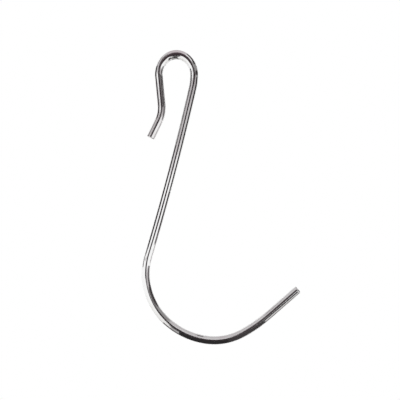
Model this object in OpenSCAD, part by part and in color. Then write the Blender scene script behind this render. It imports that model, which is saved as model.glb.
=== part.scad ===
// Wire S hook: a small loop that drops over a rail, a long leaning shank and a wide open hook for the load.
// It is one length of round wire, bent in one plane. The loop's axis is the Y axis, and +Z is up.

/* [Wire] */
// Diameter of the round wire
wire_d = 4; // [2:0.1:5]
// Radius that breaks the edge of the cut end at the tip
tip_edge_r = 0.3; // [0.1:0.1:0.9]
// Radius that breaks the edge of the cut end at the open hook
open_edge_r = 0.7; // [0.1:0.1:0.9]

/* [Rail loop] */
// Half width of the loop, from its axis out to the middle of the wire
loop_half_w = 8.85; // [7:0.05:20]
// How many times taller than a half round the crown is, and how many times deeper its wire
crown_stretch = 1.15; // [1:0.01:1.4]

/* [Leg and tip] */
// Bend radius where the leg leaves the loop
leg_bend_r = 8; // [4:0.5:20]
// Angle that the leg leans in under the loop
leg_lean = 5.5; // [1:0.5:10]
// Length of the straight leg
leg_l = 14.3; // [5:0.1:25]
// Bend radius of the elbow below the leg
elbow_r = 15; // [5:0.5:25]
// Angle that the elbow turns the tip outwards
elbow_turn = 31.5; // [10:0.5:60]
// Length of the straight tip
tip_l = 9.3; // [3:0.1:20]

/* [Shank] */
// Bend radius where the shank leaves the loop
shank_bend_r = 30; // [10:1:60]
// Angle that the shank leans in under the loop
shank_lean = 13; // [8:0.5:20]
// Length of the shank, along its slight bow
shank_l = 86.4; // [40:0.1:150]
// Angle that the shank bows through over that length
shank_bow = 3.6; // [0.5:0.1:8]

/* [Load hook] */
// Bend radius of the heel, where the shank turns into the hook
heel_r = 32; // [15:0.5:50]
// Angle that the heel turns through
heel_turn = 61; // [30:0.5:80]
// Bend radius of the flatter belly after the heel
belly_r = 36.5; // [15:0.5:60]
// Angle that the belly turns through
belly_turn = 38; // [10:0.5:60]
// Bend radius of the tighter toe at the bottom
toe_r = 29.5; // [15:0.5:50]
// Angle that the toe turns through
toe_turn = 36; // [10:0.5:60]
// Bend radius of the last, easy bend up to the open end
lift_r = 75; // [30:1:120]
// Angle that the last bend turns through
lift_turn = 12.7; // [2:0.1:25]
// Length of the straight open end
open_end_l = 19; // [5:0.5:40]

/* [Hidden] */
$fn = 96;
// The wire is laid out in metres and drawn in millimetres, which keeps its stretches flush with each other
metre = 1000;
wire_r = wire_d / 2 / metre;
loop_r = loop_half_w / metre;
shank_bow_r = shank_l / (shank_bow * PI / 180);

// Each stretch of wire starts at its own origin, heads along +Y in the XY plane,
// and carries the next stretch on its far end.

// Straight wire
module straight(length) {
    run = length / metre;
    rotate([-90, 0, 0])
        cylinder(r = wire_r, h = run);
    translate([0, run, 0])
        children();
}

// Bent wire. A positive angle turns it towards -X and a negative one towards +X.
module bend(radius, angle) {
    centre_x = -sign(angle) * radius / metre;
    translate([centre_x, 0, 0]) {
        rotate_extrude(angle = angle)
            translate([-centre_x, 0])
                circle(r = wire_r);
        rotate([0, 0, angle])
            translate([-centre_x, 0, 0])
                children();
    }
}

// Straight wire with its cut end's edge rounded over
module cut_end(length, edge_r) {
    run = length / metre;
    round_r = edge_r / metre;
    rotate([-90, 0, 0])
        rotate_extrude() {
            square([wire_r, run - round_r]);
            square([wire_r - round_r, run]);
            intersection() {
                translate([wire_r - round_r, run - round_r])
                    circle(r = round_r);
                square([wire_r, run]);
            }
        }
}

// Top of the loop: a half round of wire stretched upwards, which also deepens the wire over the rail
module crown() {
    scale([1, crown_stretch, 1])
        rotate_extrude(angle = 180)
            translate([loop_r, 0])
                circle(r = wire_r);
}

// Short side of the loop, which leans in to narrow the throat and then flares out at the tip
module leg() {
    translate([-loop_r, 0, 0])
        rotate([0, 0, 180])
            bend(leg_bend_r, leg_lean)
                straight(leg_l)
                    bend(elbow_r, -elbow_turn)
                        cut_end(tip_l, tip_edge_r);
}

// Long side of the loop, down the shank and round the load hook to its open end
module shank() {
    translate([loop_r, 0, 0])
        rotate([0, 0, 180])
            bend(shank_bend_r, -shank_lean)
                bend(shank_bow_r, -shank_bow)
                    load_hook();
}

// Heel, belly, toe and open end, one after the other
module load_hook() {
    bend(heel_r, heel_turn)
        bend(belly_r, belly_turn)
            bend(toe_r, toe_turn)
                bend(lift_r, lift_turn)
                    cut_end(open_end_l, open_edge_r);
}

// The whole wire, stood up from the XY plane into the XZ plane
module hook() {
    color("silver")
        scale(metre)
            rotate([90, 0, 0]) {
                crown();
                leg();
                shank();
            }
}

hook();
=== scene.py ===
import math

import bpy
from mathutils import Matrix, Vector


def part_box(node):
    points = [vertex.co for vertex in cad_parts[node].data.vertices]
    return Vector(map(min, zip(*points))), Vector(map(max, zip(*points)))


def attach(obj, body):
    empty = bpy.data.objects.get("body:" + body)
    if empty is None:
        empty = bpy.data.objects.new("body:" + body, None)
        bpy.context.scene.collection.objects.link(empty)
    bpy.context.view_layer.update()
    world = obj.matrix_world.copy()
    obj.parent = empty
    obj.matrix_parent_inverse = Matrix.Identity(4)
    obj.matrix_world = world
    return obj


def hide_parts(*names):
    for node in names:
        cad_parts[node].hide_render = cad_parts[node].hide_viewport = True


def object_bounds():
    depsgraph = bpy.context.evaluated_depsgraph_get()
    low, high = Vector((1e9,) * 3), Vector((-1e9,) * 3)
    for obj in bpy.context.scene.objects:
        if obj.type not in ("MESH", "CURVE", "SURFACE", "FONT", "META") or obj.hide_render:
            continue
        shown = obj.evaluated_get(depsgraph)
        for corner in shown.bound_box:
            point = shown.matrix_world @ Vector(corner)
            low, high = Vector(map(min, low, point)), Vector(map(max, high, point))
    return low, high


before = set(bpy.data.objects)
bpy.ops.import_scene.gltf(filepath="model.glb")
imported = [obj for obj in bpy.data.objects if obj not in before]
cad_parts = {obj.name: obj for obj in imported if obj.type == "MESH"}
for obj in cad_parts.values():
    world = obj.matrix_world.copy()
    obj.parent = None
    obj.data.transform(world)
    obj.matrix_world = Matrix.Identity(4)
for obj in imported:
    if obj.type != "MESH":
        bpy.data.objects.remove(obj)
cadLow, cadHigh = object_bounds()
print("frame loaded")

mmPerMetre = 1000


def linearColour(hexText):
    # sRGB hex to the linear values that the shader sockets take
    channels = [int(hexText[i:i + 2], 16) / 255 for i in (0, 2, 4)]
    return [c / 12.92 if c <= 0.04045 else ((c + 0.055) / 1.055) ** 2.4 for c in channels] + [1.0]


def addNode(tree, kind, links=None, **settings):
    # plain settings go in by name; the dictionary holds each socket's value or the output it takes
    node = tree.nodes.new(kind)
    for name, value in settings.items():
        setattr(node, name, value)
    for socket, value in (links or {}).items():
        if isinstance(value, bpy.types.NodeSocket):
            tree.links.new(value, node.inputs[socket])
        else:
            node.inputs[socket].default_value = value
    return node


def emptyMaterial(name):
    material = bpy.data.materials.new(name)
    material.use_nodes = True
    material.node_tree.nodes.clear()
    return material


def meshObject(name, points, faces, material, smooth=False):
    mesh = bpy.data.meshes.new(name)
    mesh.from_pydata(points, [], faces)
    mesh.materials.append(material)
    mesh.polygons.foreach_set("use_smooth", [smooth] * len(mesh.polygons))
    piece = bpy.data.objects.new(name, mesh)
    bpy.context.scene.collection.objects.link(piece)
    return piece


# the wire's finish
chromedSteel = {
    "plating": "F6F6F6",          # bright chrome
    "handled": "E3DFE0",          # faint warm haze where it has been handled
    "roughness": 0.07,            # polished plating
    "dullRoughness": 0.17,        # where the haze lies
    "drawLineMm": 0.25,           # die lines are finer than this, drawn coarse enough to show
    "drawLineRunMm": 60,          # how far a die line runs before it fades
    "drawLineDepthMm": 0.01,
    "drawLineStrength": 0.2,
    "waveMm": 9,                  # slow unevenness left by straightening and bending
    "waveDepthMm": 0.06,
    "waveStrength": 0.25,
    "hazeMm": 22.5,               # about the size of a fingertip and its smear
    "hazeFrom": 0.45,             # the pattern's values between which the haze comes in
    "hazeTo": 0.75,
}


def chromedSteelMaterial():
    # Chrome over drawn steel wire: mirror bright, with die lines along the wire and a slight handled haze
    look = chromedSteel
    material = emptyMaterial("chromed drawn steel")
    tree = material.node_tree

    # UV runs in metres: round the wire in U, along it in V
    uv = addNode(tree, "ShaderNodeUVMap", uv_map="wireMetres")
    dieScale = addNode(tree, "ShaderNodeMapping", {
        "Vector": uv.outputs["UV"],
        "Scale": (mmPerMetre / look["drawLineMm"], mmPerMetre / look["drawLineRunMm"], 1)})
    dieLines = addNode(tree, "ShaderNodeTexNoise", {
        "Vector": dieScale.outputs["Vector"], "Scale": 1.0, "Detail": 3.0, "Roughness": 0.6})
    place = addNode(tree, "ShaderNodeTexCoord")
    wave = addNode(tree, "ShaderNodeTexNoise", {
        "Vector": place.outputs["Object"], "Scale": mmPerMetre / look["waveMm"], "Detail": 1.0})
    haze = addNode(tree, "ShaderNodeTexNoise", {
        "Vector": place.outputs["Object"], "Scale": mmPerMetre / look["hazeMm"],
        "Detail": 5.0, "Roughness": 0.65})
    hazeEdge = addNode(tree, "ShaderNodeMapRange", {
        "Value": haze.outputs["Fac"], "From Min": look["hazeFrom"], "From Max": look["hazeTo"]})

    # sockets 6 and 7 are the two colours that this node mixes, and output 2 is their mix
    colour = addNode(tree, "ShaderNodeMix", {
        "Factor": hazeEdge.outputs["Result"],
        6: linearColour(look["plating"]), 7: linearColour(look["handled"])}, data_type="RGBA")
    roughness = addNode(tree, "ShaderNodeMapRange", {
        "Value": hazeEdge.outputs["Result"],
        "To Min": look["roughness"], "To Max": look["dullRoughness"]})
    waveBump = addNode(tree, "ShaderNodeBump", {
        "Height": wave.outputs["Fac"],
        "Strength": look["waveStrength"], "Distance": look["waveDepthMm"] / mmPerMetre})
    dieBump = addNode(tree, "ShaderNodeBump", {
        "Height": dieLines.outputs["Fac"], "Normal": waveBump.outputs["Normal"],
        "Strength": look["drawLineStrength"], "Distance": look["drawLineDepthMm"] / mmPerMetre})
    shader = addNode(tree, "ShaderNodeBsdfPrincipled", {
        "Base Color": colour.outputs[2], "Metallic": 1.0, "Roughness": roughness.outputs["Result"],
        "Normal": dieBump.outputs["Normal"]})
    addNode(tree, "ShaderNodeOutputMaterial", {"Surface": shader.outputs["BSDF"]})
    return material


# the wire, laid out as it is bent, in millimetres and degrees
wire = {
    "loopHalfWidth": 8.85,        # from the loop's middle to the wire's centre line
    "crownStretch": 1.15,         # how much taller the loop's crown is than a half circle
    "crownFlatness": 3.7,         # 2 is round: bending draws the outer half of the wire a little flatter
    # both sides head down out of the loop, and a positive turn goes to +X
    # a bend has a radius and a turn, a bow has a length and a turn, a straight has a length
    "shank": [("bend", 30, -13), ("bow", 86.4, -3.6), ("bend", 32, 61), ("bend", 36.5, 38),
              ("bend", 29.5, 36), ("bend", 75, 12.7), ("straight", 19)],
    "leg": [("bend", 8, 5.5), ("straight", 14.3), ("bend", 15, -31.5), ("straight", 9.3)],
    "openEdge": 0.7,              # how far each cut end's edge is rounded over
    "tipEdge": 0.3,
    "edgeRings": 8,
    "capShares": (0.75, 0.4, 0.1),    # rings on a cut end's flat face, as shares of its radius
    "sides": 64,                  # points round the wire
    "stepMm": 0.6,                # rings along it, at most this far apart
    "crownSteps": 72,
}


def stretchStations(stretches, startX):
    # centre line stations as (x, z, heading, length so far), going down from the loop
    x, z, heading, run = startX, 0.0, -90.0, 0.0
    stations = []
    for kind, size, *turn in stretches:
        if kind == "straight":
            length, angle = size, 0.0
        elif kind == "bow":
            length, angle = size, turn[0]
        else:
            length, angle = size * abs(math.radians(turn[0])), turn[0]
        steps = max(2, math.ceil(length / wire["stepMm"]))
        for i in range(steps):
            middle = math.radians(heading + angle / steps / 2)
            part = length / steps
            if angle:
                # the chord of this short arc
                half = math.radians(angle / steps / 2)
                part *= math.sin(half) / half
            x += part * math.cos(middle)
            z += part * math.sin(middle)
            heading += angle / steps
            run += length / steps
            stations.append((x, z, heading, run))
    return stations


def ringAt(x, z, heading, radius):
    # one ring of points square to the heading, starting on the heading's left
    across = math.radians(heading + 90)
    ring = []
    for i in range(wire["sides"]):
        turn = 2 * math.pi * i / wire["sides"]
        reach = radius * math.cos(turn)
        ring.append((x + reach * math.cos(across), radius * math.sin(turn), z + reach * math.sin(across)))
    return ring


def roundedEnd(rings, runs, stations, radius, edge):
    # ends the wire with a flat cut whose edge is rounded over
    lastX, lastZ, heading, run = stations[-1]
    ahead = (math.cos(math.radians(heading)), math.sin(math.radians(heading)))
    kept = [(r, s) for r, s in zip(rings, runs) if s <= run - edge]
    rings[:], runs[:] = [r for r, s in kept], [s for r, s in kept]
    for i in range(wire["edgeRings"] + 1):
        turn = math.pi / 2 * i / wire["edgeRings"]
        back = edge * (1 - math.sin(turn))
        x, z = lastX - back * ahead[0], lastZ - back * ahead[1]
        rings.append(ringAt(x, z, heading, radius - edge * (1 - math.cos(turn))))
        runs.append(run - back)
    for share in wire["capShares"]:
        rings.append(ringAt(lastX, lastZ, heading, (radius - edge) * share))
        runs.append(run + (radius - edge) * (1 - share))


def crownSection(angle, radius):
    # one ring of the crown: a round section whose outer half is flatter towards the top
    halfWidth, stretch = wire["loopHalfWidth"], wire["crownStretch"]
    outerPower = 2 + (wire["crownFlatness"] - 2) * math.sin(angle) ** 2
    ring = []
    for j in range(wire["sides"]):
        turn = 2 * math.pi * j / wire["sides"]
        out, deep = math.cos(turn), math.sin(turn)
        power = outerPower if out > 0 else 2
        out = math.copysign(abs(out) ** (2 / power), out)
        deep = math.copysign(abs(deep) ** (2 / power), deep)
        reach = halfWidth + radius * out
        ring.append((reach * math.cos(angle), radius * deep, stretch * reach * math.sin(angle)))
    return ring


def buildWire(material):
    low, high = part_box("hook")
    radius = (high[1] - low[1]) / 2 * mmPerMetre
    halfWidth, stretch = wire["loopHalfWidth"], wire["crownStretch"]
    count = wire["sides"]

    sides = {}
    for name, startX, edge in (("shank", halfWidth, "openEdge"), ("leg", -halfWidth, "tipEdge")):
        stations = stretchStations(wire[name], startX)
        rings = [ringAt(x, z, heading, radius) for x, z, heading, run in stations]
        runs = [run for x, z, heading, run in stations]
        roundedEnd(rings, runs, stations, radius, wire[edge])
        sides[name] = rings, runs

    # the crown is a half ring stretched upwards, from the leg's side over to the shank's
    crownRings, crownRuns = [], []
    steps = wire["crownSteps"]
    for i in range(steps + 1):
        crownRings.append(crownSection(math.pi * (1 - i / steps), radius))
        crownRuns.append(halfWidth * stretch * math.pi * i / steps)

    # the leg's rings run the other way and start on the other side of the wire
    legRings, legRuns = sides["leg"]
    legRings = [[ring[(count // 2 - j) % count] for j in range(count)] for ring in legRings]
    rings = legRings[::-1] + crownRings + sides["shank"][0]
    runs = ([-run for run in legRuns[::-1]] + crownRuns
            + [crownRuns[-1] + run for run in sides["shank"][1]])

    points = [[c / mmPerMetre for c in point] for ring in rings for point in ring]
    faces = []
    for i in range(len(rings) - 1):
        for j in range(count):
            k = (j + 1) % count
            faces.append((i * count + j, i * count + k, (i + 1) * count + k, (i + 1) * count + j))
    faces.append(tuple(range(count))[::-1])
    faces.append(tuple((len(rings) - 1) * count + j for j in range(count)))
    piece = meshObject("hookWire", points, faces, material, smooth=True)

    # UV in metres, so that the finish keeps its real scale round and along the wire
    layer = piece.data.uv_layers.new(name="wireMetres")
    around = 2 * math.pi * radius / mmPerMetre
    for polygon in piece.data.polygons:
        columns = [piece.data.loops[i].vertex_index % count for i in polygon.loop_indices]
        # a face that closes the ring ends at the full turn, not back at its start
        wraps = max(columns) - min(columns) > count // 2 and len(columns) == 4
        for i in polygon.loop_indices:
            vertex = piece.data.loops[i].vertex_index
            column = vertex % count
            if wraps and column == 0:
                column = count
            layer.data[i].uv = (column / count * around, runs[vertex // count] / mmPerMetre)
    return piece


hookWire = buildWire(chromedSteelMaterial())
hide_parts("hook")
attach(hookWire, "root")
print("wire built with", len(hookWire.data.polygons), "faces")


# the studio: lengths in metres
studio = {
    "floorDrop": 0.30,            # how far the floor lies under the hook
    "floorRadius": 2.4,
    "floorSides": 96,
    "floorFadeFrom": 0.3,         # where the floor begins to turn white, from its middle
    "floorFadeTo": 1.3,
    "floorColour": "F2F2F0",
    "floorRoughness": 0.9,
    "whiteLevel": 1.0,
    "fillLevel": 0.88,            # what the white surround gives to matt surfaces
}


# name, which way it faces, where it stands, its two spans, its shade: every card is a painted reflection,
# a glowing sheet whose shade paints a dark, grey or light stripe into the chrome
paintedReflectionCards = [
    # in front of the hook and behind it: spans X and Z
    ("lensSide", "front", -0.80, (-0.31, 0.225), (-0.155, 0.22), "3A3235"),
    ("lensRight", "front", -0.80, (0.225, 0.36), (0.00, 0.14), "373334"),
    ("lensTop", "front", -0.79, (-0.16, 0.16), (0.10, 0.23), "52464A"),
    ("lensOpen", "front", -0.79, (0.045, 0.13), (-0.19, -0.125), "7E7A7B"),
    ("lensLow", "front", -0.80, (-0.09, 0.24), (-0.175, -0.10), "302D2E"),
    ("lensFoot", "front", -0.80, (-0.09, 0.13), (-0.33, -0.175), "302D2E"),
    # painted dark reflection low in front of the hook
    ("lowFrontPaintedDark", "front", -0.40, (-0.08, 0.085), (-0.42, -0.165), "383335"),
    ("farSide", "front", 0.80, (-0.24, 0.26), (-0.31, 0.19), "4A4748"),
    ("upperLeftShade", "front", -0.60, (-0.55, -0.12), (0.12, 0.50), "746F71"),
    ("upperLeftCore", "front", -0.595, (-0.34, -0.20), (0.165, 0.265), "444041"),
    # to the right of it: spans Y and Z
    # painted dark and grey reflections far to the right
    ("rightPaintedDark", "side", 1.60, (-0.85, 1.90), (0.10, 0.74), "322E2F"),
    ("rightFrontPaintedGrey", "side", 1.60, (-4.40, -0.85), (0.15, 0.74), "625E5F"),
    ("rightMid", "side", 1.60, (-4.40, -0.70), (-0.24, 0.15), "B4B0B1"),
    ("rightLow", "side", 1.60, (-4.40, -0.70), (-0.38, -0.24), "C8C5C6"),
    ("rightUpper", "side", 0.40, (-1.10, 0.35), (0.09, 0.31), "939191"),
    ("rightHorizon", "side", 0.401, (-0.19, 0.27), (-0.170, 0.02), "2C2829"),
    ("rightNearLow", "side", 0.060, (-0.035, 0.048), (-0.099, -0.076), "3E3A3B"),
    ("rightNearFoot", "side", 0.060, (-0.035, 0.048), (-0.108, -0.099), "6A6667"),
    ("rightBackLow", "side", 0.401, (0.08, 0.60), (-0.240, -0.195), "BEBABB"),
    ("rightNear", "side", 0.060, (-0.06, 0.05), (0.03, 0.10), "403C3D"),
    # to the left of it: spans Y and Z
    ("leftHorizon", "side", -0.401, (-0.18, 0.31), (0.0095, 0.16), "2C2829"),
    ("leftHorizonFade", "side", -0.401, (-0.04, 0.25), (-0.075, 0.0095), "7C7879"),
    ("leftNear", "side", -0.100, (-0.042, 0.055), (-0.024, 0.003), "403C3D"),
    ("leftMid", "side", -0.40, (-1.10, -0.17), (-0.034, -0.012), "BFBCBD"),
    ("leftUpperFront", "side", -0.40, (-1.00, -0.15), (0.068, 0.40), "C2BEBF"),
    ("leftUpper", "side", -0.40, (-0.15, 0.20), (0.16, 0.40), "969293"),
    # above it: spans X and Y
    ("overhead", "level", 0.40, (-0.50, 0.50), (-1.00, 0.60), "CDCACB"),
    ("overheadLine", "level", 0.399, (-0.50, 0.50), (-0.05, 0.18), "BCB9BA"),
    ("crownShade", "level", 0.030, (-0.014, 0.014), (-0.070, 0.012), "C6BDC0"),
    # under it: spans X and Y
    # painted dark reflections under the loop
    ("underPaintedDark", "level", -0.150, (-0.010, 0.030), (-0.14, 0.024), "2D2B2C"),
    ("underRightPaintedGrey", "level", -0.150, (0.030, 0.065), (-0.14, 0.020), "423F40"),
    ("underLeft", "level", -0.150, (-0.020, -0.010), (-0.10, -0.003), "B0AEAE"),
    ("underLeftStep", "level", -0.149, (-0.021, -0.010), (-0.14, -0.034), "454243"),
    ("underLeftLine", "level", -0.150, (-0.030, -0.010), (-0.003, 0.045), "6E6C6C"),
    ("underRightFront", "level", -0.165, (0.075, 0.125), (-0.25, -0.058), "262525"),
    ("underRightBack", "level", -0.165, (0.075, 0.125), (-0.058, -0.004), "D2D0D0"),
    ("underRightLine", "level", -0.165, (0.075, 0.125), (-0.004, 0.032), "62605F"),
    ("underBack", "level", -0.165, (-0.05, 0.07), (0.06, 0.30), "545152"),
]


def buildFloor():
    # a round pale floor that fades into the white surround towards its rim
    material = emptyMaterial("pale matt floor")
    tree = material.node_tree
    place = addNode(tree, "ShaderNodeTexCoord")
    distance = addNode(tree, "ShaderNodeVectorMath", {0: place.outputs["Object"]}, operation="LENGTH")
    fade = addNode(tree, "ShaderNodeMapRange", {
        "Value": distance.outputs["Value"],
        "From Min": studio["floorFadeFrom"], "From Max": studio["floorFadeTo"]},
        interpolation_type="SMOOTHSTEP")
    matt = addNode(tree, "ShaderNodeBsdfPrincipled", {
        "Base Color": linearColour(studio["floorColour"]), "Roughness": studio["floorRoughness"]})
    white = addNode(tree, "ShaderNodeEmission", {"Strength": studio["whiteLevel"]})
    blend = addNode(tree, "ShaderNodeMixShader", {
        0: fade.outputs["Result"], 1: matt.outputs["BSDF"], 2: white.outputs["Emission"]})
    addNode(tree, "ShaderNodeOutputMaterial", {"Surface": blend.outputs["Shader"]})

    count, radius = studio["floorSides"], studio["floorRadius"]
    rim = [(radius * math.cos(2 * math.pi * i / count), radius * math.sin(2 * math.pi * i / count), 0)
           for i in range(count)]
    floor = meshObject("floor", rim, [tuple(range(count))], material)
    floor.location.z = cadLow.z - studio["floorDrop"]


def buildSurround():
    # a white surround that the lens and the metal both see, and a softer level for matt surfaces
    world = bpy.data.worlds.new("white surround")
    bpy.context.scene.world = world
    world.use_nodes = True
    tree = world.node_tree
    tree.nodes.clear()
    rays = addNode(tree, "ShaderNodeLightPath")
    seen = addNode(tree, "ShaderNodeMath", {
        0: rays.outputs["Is Camera Ray"], 1: rays.outputs["Is Glossy Ray"]}, operation="MAXIMUM")
    seen = addNode(tree, "ShaderNodeMath", {
        0: seen.outputs["Value"], 1: rays.outputs["Is Transmission Ray"]}, operation="MAXIMUM")
    level = addNode(tree, "ShaderNodeMapRange", {
        "Value": seen.outputs["Value"], "To Min": studio["fillLevel"], "To Max": studio["whiteLevel"]})
    light = addNode(tree, "ShaderNodeBackground", {
        "Color": (1, 1, 1, 1), "Strength": level.outputs["Result"]})
    addNode(tree, "ShaderNodeOutputWorld", {"Surface": light.outputs["Background"]})


def paintedReflectionCard(name, corners, hexColour):
    # a painted reflection: a card that only the metal sees, placed as a flag stands beside a bright
    # object in a studio, but glowing with a set shade and hidden from the lens, from matt surfaces and
    # from shadows
    material = emptyMaterial(name + " painted reflection card")
    tree = material.node_tree
    shade = addNode(tree, "ShaderNodeEmission", {"Color": linearColour(hexColour)})
    addNode(tree, "ShaderNodeOutputMaterial", {"Surface": shade.outputs["Emission"]})
    card = meshObject(name, corners, [(0, 1, 2, 3)], material)
    card.visible_camera = False
    card.visible_diffuse = False
    card.visible_shadow = False


def buildPaintedReflections():
    # each row of the table becomes one painted reflection card
    for name, plane, at, spanA, spanB, hexColour in paintedReflectionCards:
        corners = []
        for u, v in ((0, 0), (1, 0), (1, 1), (0, 1)):
            if plane == "side":
                corners.append((at, spanA[u], spanB[v]))
            elif plane == "level":
                corners.append((spanA[u], spanB[v], at))
            else:
                corners.append((spanA[u], at, spanB[v]))
        paintedReflectionCard(name, corners, hexColour)


softLight = {
    "width": 0.9,                 # metres, and as high as it is wide
    "watts": 5,
    "place": (-0.9, -0.9, 0.9),   # up and to the left of the lens
    "tilt": 50,
    "turn": -45,
}


def buildSoftLight():
    key = bpy.data.lights.new("softKey", "AREA")
    key.shape = "RECTANGLE"
    key.size, key.size_y = softLight["width"], softLight["width"]
    key.energy = softLight["watts"]
    stand = bpy.data.objects.new("softKey", key)
    stand.location = softLight["place"]
    stand.rotation_euler = (math.radians(softLight["tilt"]), 0, math.radians(softLight["turn"]))
    bpy.context.scene.collection.objects.link(stand)


buildFloor()
buildSurround()
buildPaintedReflections()
buildSoftLight()
print("studio set with", len(paintedReflectionCards), "cards")


view = {
    "lens": 150,                  # millimetres, as is the sensor
    "sensor": 36,
    "frameWidth": 0.200,          # metres that the frame spans at the hook
    "aimX": 0.01179,
    "aimZ": -0.06251,
}


def buildCamera():
    # square on to the hook's plane, as far off as makes the frame span its width
    data = bpy.data.cameras.new("camera")
    data.lens = view["lens"]
    data.sensor_width = view["sensor"]
    camera = bpy.data.objects.new("camera", data)
    camera.location = (view["aimX"], -view["frameWidth"] * view["lens"] / view["sensor"], view["aimZ"])
    camera.rotation_euler = (math.radians(90), 0, 0)
    bpy.context.scene.collection.objects.link(camera)
    bpy.context.scene.camera = camera


buildCamera()
bpy.context.scene.view_settings.view_transform = "Standard"
print("camera set")
